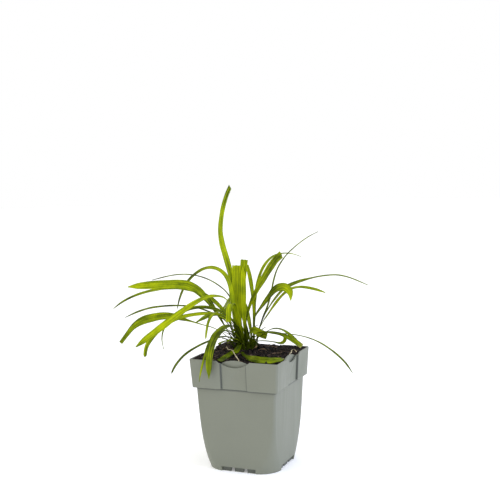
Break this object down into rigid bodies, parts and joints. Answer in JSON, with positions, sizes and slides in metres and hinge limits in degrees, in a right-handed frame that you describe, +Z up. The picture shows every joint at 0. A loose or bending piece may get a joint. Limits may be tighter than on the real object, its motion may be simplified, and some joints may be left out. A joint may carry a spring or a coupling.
{
  "type": "potted lilyturf plant",
  "caption": "Potted lilyturf: arching strap-like leaves rising from a low crown, planted in soil in a square tapered nursery pot with a deep collar and a drainage foot.",
  "frame": {"origin": "middle of the pot's foot, on the surface that it stands on", "axes": "+Z up; +X and +Y square to the pot's sides; the camera of the picture stood off -Y and to the +X side"},
  "size_m": [0.2746, 0.1476, 0.2711],
  "materials": {
    "pot_plastic": "taupe grey moulded plastic, satin",
    "peat": "dark crumbly potting soil, matt",
    "leaf_green": "yellow-green leaf with fine parallel veins, slight sheen",
    "pale_root": "pale cream bare root, matt"
  },
  "bodies": {
    "root": {"pot": "pot_plastic", "soil": "peat", "shoot_left": "leaf_green", "shoot_front": "leaf_green", "shoot_middle": "leaf_green", "shoot_right": "leaf_green", "shoot_low": "leaf_green", "shoot_back": "leaf_green", "fallen_leaf": "leaf_green", "front_root": "pale_root", "right_root": "pale_root"}
  },
  "joints": []
}
